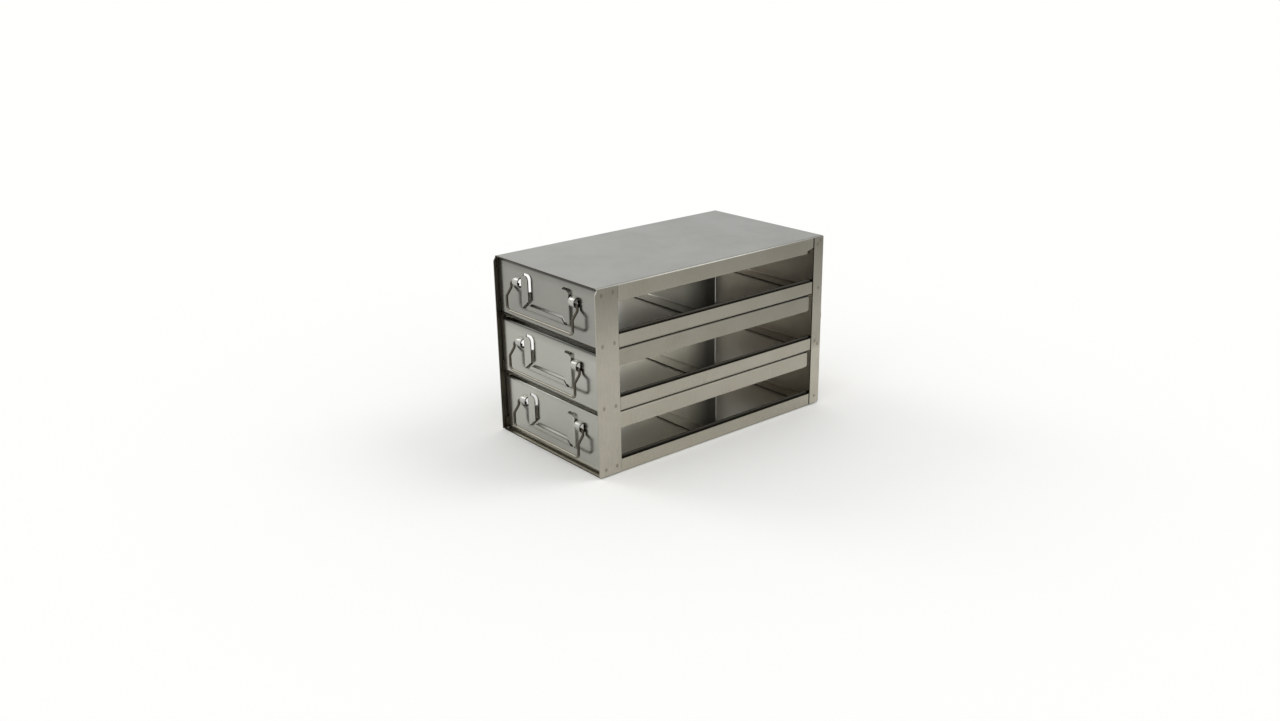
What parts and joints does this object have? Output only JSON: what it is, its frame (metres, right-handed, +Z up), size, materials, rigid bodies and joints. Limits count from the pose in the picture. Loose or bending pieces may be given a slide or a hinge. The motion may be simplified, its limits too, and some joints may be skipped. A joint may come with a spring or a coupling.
{
  "type": "freezer drawer rack",
  "caption": "Open sheet steel rack for freezer storage boxes, with stacked pull-out drawers that have wire bails and label holders.",
  "frame": {"origin": "centre of the underside of the frame, on the bottom panel", "axes": "+Z up, front with the drawer faces towards -Y, +Y along the depth, +X to the right seen from the front"},
  "size_m": [0.153, 0.2833, 0.1722],
  "materials": {
    "frame_sheet": "mill-finished stainless steel sheet",
    "drawer_sheet": "smooth mill-finished stainless steel sheet",
    "wire": "bright drawn stainless steel wire"
  },
  "bodies": {
    "frame": {"top_panel": "frame_sheet", "bottom_panel": "frame_sheet", "front_post_left": "frame_sheet", "front_post_right": "frame_sheet", "rear_post_left": "frame_sheet", "rear_post_right": "frame_sheet", "rear_strap": "frame_sheet", "upper_rail_left": "frame_sheet", "upper_rail_right": "frame_sheet", "lower_rail_left": "frame_sheet", "lower_rail_right": "frame_sheet", "top_guide_left": "frame_sheet", "top_guide_right": "frame_sheet"},
    "top_drawer": {"top_drawer_tray": "drawer_sheet", "top_drawer_front": "drawer_sheet", "top_drawer_divider": "drawer_sheet", "top_drawer_back": "drawer_sheet"},
    "top_bail": {"top_handle": "wire"},
    "middle_drawer": {"middle_drawer_tray": "drawer_sheet", "middle_drawer_front": "drawer_sheet", "middle_drawer_divider": "drawer_sheet", "middle_drawer_back": "drawer_sheet"},
    "middle_bail": {"middle_handle": "wire"},
    "bottom_drawer": {"bottom_drawer_tray": "drawer_sheet", "bottom_drawer_front": "drawer_sheet", "bottom_drawer_divider": "drawer_sheet", "bottom_drawer_back": "drawer_sheet"},
    "bottom_bail": {"bottom_handle": "wire"}
  },
  "joints": [
    {"name": "top_drawer_slide", "type": "slide", "parent": "frame", "child": "top_drawer", "axis": [0, -1, 0], "range_m": [-0.0015, 0.235]},
    {"name": "top_bail_hinge", "type": "hinge", "parent": "top_drawer", "child": "top_bail", "pos_m": [0, -0.1365, 0.15187], "axis": [-1, 0, 0], "range_deg": [0, 140]},
    {"name": "middle_drawer_slide", "type": "slide", "parent": "frame", "child": "middle_drawer", "axis": [0, -1, 0], "range_m": [-0.0015, 0.235]},
    {"name": "middle_bail_hinge", "type": "hinge", "parent": "middle_drawer", "child": "middle_bail", "pos_m": [0, -0.1365, 0.09437], "axis": [-1, 0, 0], "range_deg": [0, 140]},
    {"name": "bottom_drawer_slide", "type": "slide", "parent": "frame", "child": "bottom_drawer", "axis": [0, -1, 0], "range_m": [0, 0.235]},
    {"name": "bottom_bail_hinge", "type": "hinge", "parent": "bottom_drawer", "child": "bottom_bail", "pos_m": [0, -0.135, 0.03687], "axis": [-1, 0, 0], "range_deg": [0, 140]}
  ]
}
